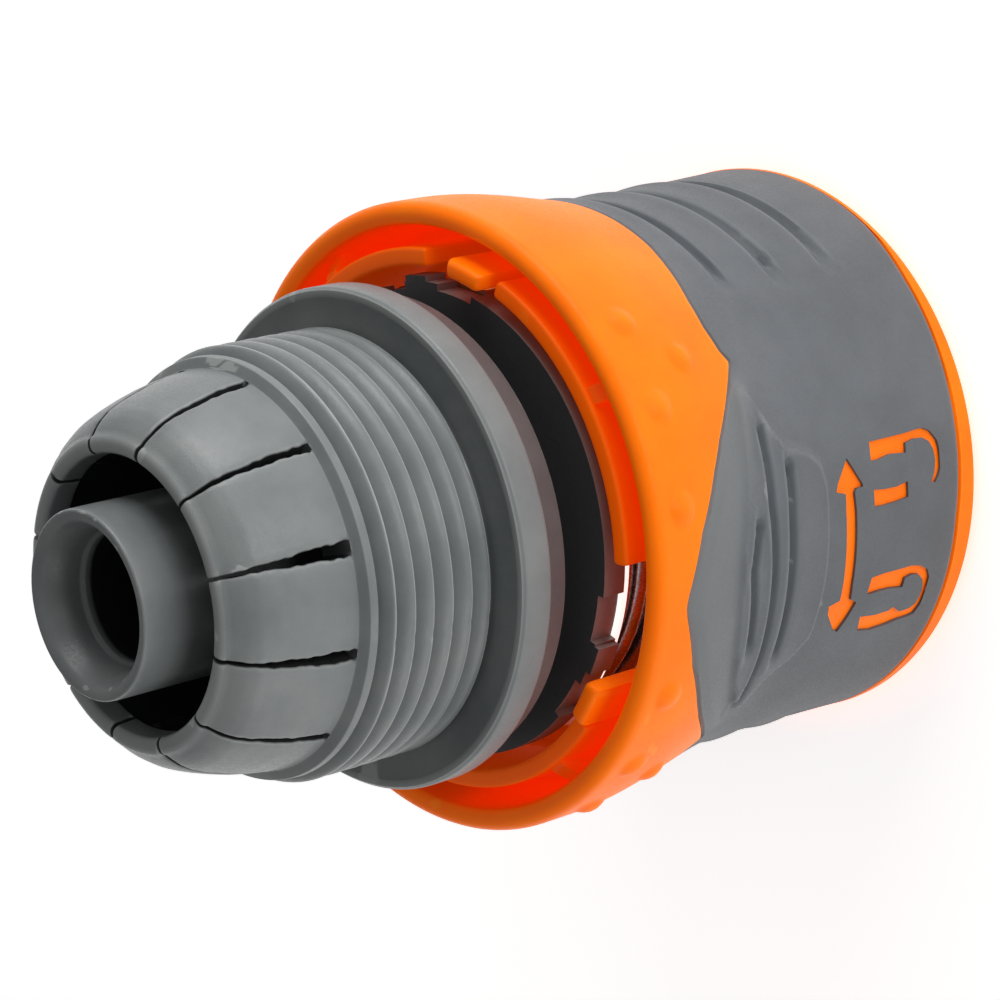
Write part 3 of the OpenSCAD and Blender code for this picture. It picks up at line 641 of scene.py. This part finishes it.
def grip_relief(theta, z):
    """How far the grip stands out of, or goes under, the collar's plain outer form."""
    offset = 90 - (np.degrees(theta) - PAD_AZIMUTH + 90) % 180
    mm = math.radians(1) * 21.5
    flat = np.stack([offset * mm, z], -1)
    outline = PAD * np.array([mm, 1.0])
    depth = distance_to(flat, outline)
    relief = 0.5 * smooth(-0.08, 0.55, depth)
    # The side towards the lip slopes away from a crease along the pad
    crease = 22.15 + 4.45 * np.sin(np.clip((offset + 37.5) / 75, 0, 1) * math.pi) - 1.9
    tongue = smooth(40.5, 34, np.abs(offset)) * smooth(0, 2.0, z - crease)
    relief = relief * (1 - 0.25 * tongue) + 0.12 * tongue * smooth(0.2, 1.4, grip_front(theta) - z)
    for line in PAD_GROOVES:
        reach, above = past_line(flat, np.array(line) * np.array([mm, 1.0]))
        ridge = 0.12 * np.exp(-((above - 0.75) / 0.35) ** 2) * (reach < 1.6)
        relief += ridge - 0.8 * np.exp(-(reach / 0.42) ** 2)
    # Finger grooves midway between the pads, each with a soft ridge in front of it
    middle = 90 - np.abs(offset)
    for height in FINGER_GROOVES:
        span = 1 - smooth(26, 37, middle)
        across = z - height
        relief += span * (0.2 * np.exp(-((across - 1.3) / 1.0) ** 2) - 0.72 * np.exp(-(across / 0.62) ** 4))
    parting = np.exp(-((np.degrees(theta) % 180 - 153.5) / 0.35) ** 2)
    return relief - 0.05 * parting


def grip_sheen(theta, z):
    """Share of the painted sheen: a lighter grey on the slope between a pad's crease and the front edge."""
    offset = (np.degrees(theta) - PAD_AZIMUTH + 90) % 180 - 90
    crease = 20.25 + 4.45 * np.sin(np.clip((37.5 - offset) / 75, 0, 1) * math.pi)
    return 0.55 * smooth(40.5, 34, np.abs(offset)) * smooth(0.8, 2.2, z - crease)


def collar_grip():
    """The overmould as an outer and an inner grid, with the signs cut through both."""
    cols, rows, low_rows, pad_rows = 360, 130, 58, 56
    theta = np.linspace(0, TURN, cols, endpoint=False)
    front, rear = grip_front(theta), grip_rear(theta)
    # Rows run level up to the pad's top, then follow the front edge
    pad_z = np.minimum(26.6, front - 1.0)
    z = np.concatenate([
        rear + (15.6 - rear) * np.linspace(0, 1, low_rows)[:, None],
        15.6 + (pad_z - 15.6) * np.linspace(0, 1, pad_rows + 1)[1:, None],
        pad_z + (front - pad_z) * np.linspace(0, 1, rows - low_rows - pad_rows + 1)[1:, None] ** 0.8])
    r = collar_r(z) + grip_relief(np.broadcast_to(theta, z.shape), z)
    # Rounded outer edges at the front and the rear
    from_edge = np.minimum(z - rear, front - z)
    r -= 0.22 * (1 - smooth(0, 0.3, from_edge))
    under = collar_r(z) - seat_depth(np.broadcast_to(theta, z.shape), z) - 0.03
    window = sign_window(theta, z)
    shape = Shape()
    outer, inner = polar(r, theta[None], z), polar(under, theta[None], z)
    skip = np.zeros((rows, cols), bool)
    i0, i1, j0, j1 = window
    skip[i0:i1, j0:j1] = True
    outer_faces = grid_faces(rows, cols, wrap_rows=False, skip=skip)
    size = rows * cols
    inner_faces = [[v + size for v in f[::-1]] for f in outer_faces]
    ends = []
    for j in range(cols):
        k = (j + 1) % cols
        ends.append([(rows - 1) * cols + j, (rows - 1) * cols + k, size + (rows - 1) * cols + k,
                     size + (rows - 1) * cols + j])
        ends.append([j, size + j, size + k, k])
    patch_points, patch_faces = sign_patch(theta, z, window, size, cols)
    # Painted sheen: a lighter grey on the slopes beside the pads, none on the sign patch
    tone = grip_sheen(np.broadcast_to(theta, z.shape), z).ravel()
    tones = np.concatenate([tone, tone, np.zeros(len(patch_points))])
    points = np.concatenate([outer.reshape(-1, 3), inner.reshape(-1, 3), patch_points])
    shape.add(points, outer_faces + inner_faces + ends + patch_faces, tones)
    return shape.make("grip_moulding", RUBBER)


def sign_window(theta, z):
    """Rows and columns of the grid that hold the cut-out signs."""
    degrees = np.degrees(theta)
    low, high = (-90 - 50) % 360, (-90 - 2) % 360
    j0, j1 = int(np.searchsorted(degrees, low)), int(np.searchsorted(degrees, high))
    column = z[:, j0]
    i0, i1 = int(np.searchsorted(column, 3.96)), int(np.searchsorted(column, 15.3))
    return max(i0, 1), i1, j0, j1


def sign_patch(theta, z, window, size, cols):
    """Triangles that fill the window of the grip round the signs, outside and inside, and the cut edges."""
    i0, i1, j0, j1 = window
    edge = [(i0, j) for j in range(j0, j1)] + [(i, j1) for i in range(i0, i1)]
    edge += [(i1, j) for j in range(j1, j0, -1)] + [(i, j0) for i in range(i1, i0, -1)]
    mm = math.radians(1) * 21.0
    flat = lambda t, h: (-(np.degrees(t) % 360) * mm, h)
    verts = [Vector(flat(theta[j], z[i, j])) for i, j in edge]
    fixed = len(verts)
    edges = [(k, (k + 1) % fixed) for k in range(fixed)]
    outlines = []
    for sign in SIGNS:
        dense = []
        pts = [np.array([-((-90 - phi) % 360) * mm, h]) for phi, h in sign]
        for a, b in zip(pts, pts[1:] + pts[:1]):
            n = max(1, int(np.linalg.norm(b - a) / 0.3))
            dense += [a + (b - a) * k / n for k in range(n)]
        first = len(verts)
        verts += [Vector(p) for p in dense]
        edges += [(first + k, first + (k + 1) % len(dense)) for k in range(len(dense))]
        outlines.append(np.array(dense))
    box_low = flat(theta[j1], z[i0, j0])
    box_high = flat(theta[j0], z[i1, j0])
    xs = np.arange(min(box_low[0], box_high[0]) + 0.4, max(box_low[0], box_high[0]) - 0.3, 0.42)
    ys = np.arange(z[i0, j0] + 0.4, z[i1, j0] - 0.3, 0.42)
    # Evenly spaced points between the outlines
    lattice = np.array([(x + (0.21 if n % 2 else 0), y) for n, y in enumerate(ys) for x in xs])
    low_edge = z[i0, j0:j1 + 1].max() + 0.3
    clear = (lattice[:, 1] > low_edge) & (lattice[:, 0] < xs[-1])
    for outline in outlines:
        clear &= np.abs(distance_to(lattice, outline)) > 0.16
    verts += [Vector(p) for p in lattice[clear]]
    out_verts, _, out_faces, source, _, _ = geometry.delaunay_2d_cdt(verts, edges, [], 0, 1e-5)
    flat_points = np.array([v[:] for v in out_verts])
    angle = np.radians(-flat_points[:, 0] / mm)
    height = flat_points[:, 1]
    radius = collar_r(height) + grip_relief(angle, height)
    top = polar(radius, angle, height)
    bottom = polar(collar_r(height) - seat_depth(angle, height) - 0.03, angle, height)
    # Points on the window's border are the grid's own, and the others are new ones outside and inside
    index_top, index_bottom = {}, {}
    new_top, new_bottom = [], []
    base = 2 * size
    for k, origin in enumerate(source):
        on_edge = [o for o in origin if o < fixed]
        if on_edge:
            i, j = edge[on_edge[0]]
            index_top[k], index_bottom[k] = i * cols + j, size + i * cols + j
        else:
            index_top[k] = base + len(new_top)
            new_top.append(top[k])
            new_bottom.append(bottom[k])
    offset = len(new_top)
    for k in index_top:
        if k not in index_bottom:
            index_bottom[k] = index_top[k] + offset
    # Edges with a face on one side only are the cut ones
    faces = []
    cut_edges = {}
    for face in out_faces:
        centre = flat_points[list(face)].mean(0)
        if any(inside_outline(centre[None], outline)[0] for outline in outlines):
            continue
        a, b, c = face
        cross = np.cross(flat_points[b] - flat_points[a], flat_points[c] - flat_points[a])
        face = list(face) if cross < 0 else list(face)[::-1]
        faces.append([index_top[v] for v in face][::-1])
        faces.append([index_bottom[v] for v in face])
        for p, q in zip(face, face[1:] + face[:1]):
            if (q, p) in cut_edges:
                del cut_edges[(q, p)]
            else:
                cut_edges[(p, q)] = True
    for p, q in cut_edges:
        if index_top[p] < base and index_top[q] < base:
            continue
        faces.append([index_top[p], index_top[q], index_bottom[q], index_bottom[p]])
    return np.array(new_top + new_bottom), faces


# Spring, made smooth and given a mesh of its own; in the real part the collar's stroke squashes it

def spring():
    """Round wire with one closed turn at each end."""
    wire, mean, turns, sides, per_turn = 0.65, 14.7, 6, 14, 56
    low, high = 18.0 + wire, 31.0 - wire
    free = high - low - 4 * wire
    n = np.linspace(0, turns, turns * per_turn + 1)
    last = 2 * wire + free + (n - turns + 1) * 2 * wire
    open_part = 2 * wire + free * (n - 1) / (turns - 2)
    rise = np.where(n <= 1, n * 2 * wire, np.where(n >= turns - 1, last, open_part))
    around = np.linspace(0, TURN, sides, endpoint=False)
    points = polar(mean + wire * np.cos(around)[None], TURN * n[:, None],
                   (low + rise)[:, None] + wire * np.sin(around)[None])
    faces = [f[::-1] for f in grid_faces(len(n), sides, wrap_rows=False)]
    faces += [list(range(sides)), [(len(n) - 1) * sides + k for k in range(sides)][::-1]]
    shape = Shape()
    shape.add(points, faces)
    return shape.make("spring_coil", STEEL, 60)


def slip_ring():
    """White ring under the socket's rim, with a painted glow over the collar's long gap and painted shade
    round the rest.
    """
    outline = rounded([(12.8, 31.2, 0.1), (16.5, 31.2, 0.1), (16.75, 31.55, 0.1), (16.75, 31.98, 0.12),
                       (12.8, 31.98, 0.1)], 3, closed=True)
    theta = np.linspace(0, TURN, 180, endpoint=False)
    phi = np.mod(-90 - np.degrees(theta) + 180, 360) - 180
    # Painted light: full glow over the long gap, brown painted shade with a faint glow round the rest of the
    # ring
    tone = np.broadcast_to(1 - smooth(8, 16, phi) * (1 - smooth(56, 62, phi)), (len(outline), len(theta)))
    shape = Shape()
    shape.add(polar(outline[:, :1], theta[None], outline[:, 1:]), grid_faces(len(outline), len(theta)),
              tone.ravel())
    return shape.make("slip_ring", ACETAL)


def dress(node, material):
    """Gives a CAD node its material."""
    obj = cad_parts[node]
    for s in obj.material_slots:
        s.material = material


body = hose_body()
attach(body, "root")
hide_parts("hose_body")

shell = collar_shell()
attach(shell, "collar")
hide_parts("collar_shell")

grip = collar_grip()
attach(grip, "collar")
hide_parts("collar_grip")

coil = spring()
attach(coil, "root")
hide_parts("spring")
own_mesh(coil)

ring = slip_ring()
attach(ring, "root")
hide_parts("slip_washer")

# The spring seat glows white as painted light, and the end ring takes the socket grey with its painted shade
# and reflection
for node, material in {"socket_body": SOCKET, "joint_seal": SEAL, "spring_seat": ACETAL,
                       "claw_1": CLAW, "claw_2": CLAW, "claw_3": CLAW, "claw_4": CLAW,
                       "end_ring": SOCKET}.items():
    dress(node, material)


# Floor, light and camera

def stage():
    """Pale paper floor."""
    mesh = bpy.data.meshes.new("floor")
    s = 3.0
    mesh.from_pydata([(-s, -s, 0), (s, -s, 0), (s, s, 0), (-s, s, 0)], [], [(0, 1, 2, 3)])
    floor = bpy.data.objects.new("floor", mesh)
    bpy.context.scene.collection.objects.link(floor)
    paper = bpy.data.materials.new("paper")
    paper.use_nodes = True
    tree = paper.node_tree
    coords = tree.nodes.new("ShaderNodeTexCoord").outputs["Object"]
    tint = mixed(tree, noise(tree, coords, 6), linear((250, 250, 250)), linear((254, 254, 254)))
    tree.links.new(tint, tree.nodes["Principled BSDF"].inputs["Base Color"])
    shader = tree.nodes["Principled BSDF"]
    shader.inputs["Roughness"].default_value = 0.9
    shader.inputs["Emission Color"].default_value = (1, 1, 1, 1)
    shader.inputs["Emission Strength"].default_value = 0.6
    mesh.materials.append(paper)


def softbox(name, place, aim, size, power, colour=(1, 1, 1)):
    """Rectangular area light at a place, turned to its aim."""
    light = bpy.data.lights.new(name, "AREA")
    light.shape = "RECTANGLE"
    light.size, light.size_y = size
    light.energy, light.color = power, colour
    obj = bpy.data.objects.new(name, light)
    bpy.context.scene.collection.objects.link(obj)
    obj.location = place
    obj.rotation_mode = "QUATERNION"
    obj.rotation_quaternion = (Vector(aim) - Vector(place)).to_track_quat("-Z", "Y")


def lights():
    """Even white surroundings and three soft lights."""
    world = bpy.data.worlds.new("studio")
    bpy.context.scene.world = world
    world.use_nodes = True
    background = world.node_tree.nodes["Background"]
    background.inputs["Color"].default_value = (1, 1, 1, 1)
    background.inputs["Strength"].default_value = 0.32
    softbox("key", (0.44, -0.18, 0.07), (0, 0, 0.03), (0.35, 0.3), 1.7)
    softbox("low", (-0.42, -0.22, 0.05), (0, 0, 0.03), (0.35, 0.3), 0.6)
    softbox("front", (0.08, -0.5, 0.06), (0, 0, 0.03), (0.3, 0.2), 0.7)


def camera():
    """Camera at the photo's angle, solved from its circles."""
    data = bpy.data.cameras.new("camera")
    data.lens, data.sensor_width = 115.2, 36
    data.clip_start, data.clip_end = 0.005, 20
    obj = bpy.data.objects.new("camera", data)
    bpy.context.scene.collection.objects.link(obj)
    right, up, back = (-0.23738, -0.62638, -0.74250), (0.97142, -0.15307, -0.18144), (0, -0.76435, 0.64481)
    place = (0.00031, -0.1758, 0.1763)
    rows = [(right[k], up[k], back[k], place[k]) for k in range(3)]
    obj.matrix_world = Matrix(rows + [(0, 0, 0, 1)])
    bpy.context.scene.camera = obj


stage()
lights()
camera()
bpy.context.scene.view_settings.view_transform = "Standard"
